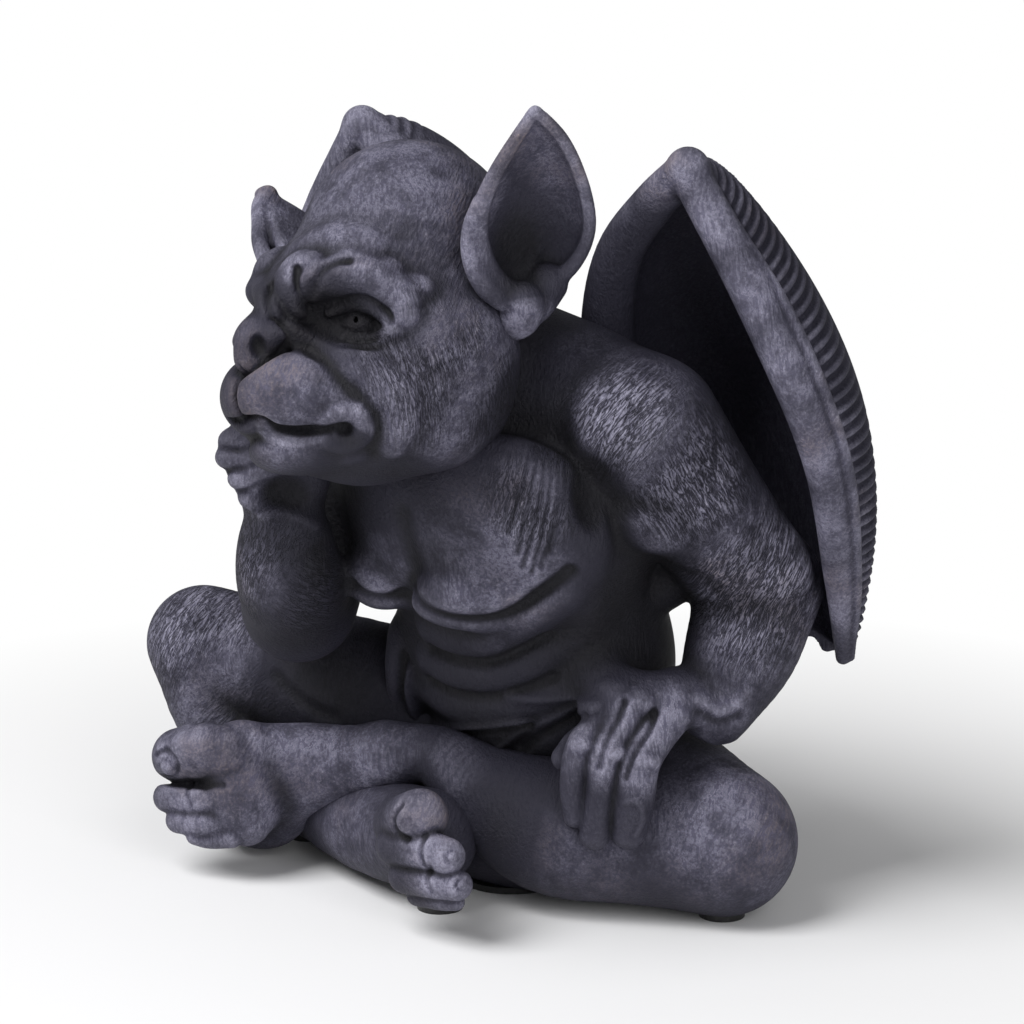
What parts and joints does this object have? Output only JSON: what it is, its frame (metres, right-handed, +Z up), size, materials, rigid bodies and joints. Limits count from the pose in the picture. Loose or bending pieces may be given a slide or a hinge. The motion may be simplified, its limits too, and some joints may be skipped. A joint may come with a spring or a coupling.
{
  "type": "seated gargoyle figurine",
  "caption": "Cast stone-effect ornament of a crouched, winged gargoyle that sits cross-legged and rests its chin on a raised fist, with steel dowels and rubber pads.",
  "frame": {"origin": "on the ground, in the middle of the underside of the pad under the seat", "axes": "+Z up, the figure faces -Y, and +X is to the figure's own left"},
  "size_m": [0.1859, 0.1338, 0.1984],
  "materials": {
    "stone": "matt cast stone resin, charcoal with a violet cast, pale dry-brushed highlights on what stands out",
    "steel": "plain ground steel pin",
    "rubber": "smooth black rubber"
  },
  "bodies": {
    "root": {"head": "stone", "torso": "stone", "right_leg": "stone", "left_leg": "stone", "left_arm": "stone", "right_arm": "stone", "left_wing": "stone", "right_wing": "stone", "left_ear": "stone", "right_ear": "stone", "neck_dowel": "steel", "left_arm_dowel": "steel", "right_arm_dowel": "steel", "left_hip_dowel": "steel", "right_hip_dowel": "steel", "left_wing_dowel": "steel", "right_wing_dowel": "steel", "seat_pad": "rubber", "left_knee_pad": "rubber", "right_foot_pad": "rubber", "right_calf_pad": "rubber"}
  },
  "joints": []
}
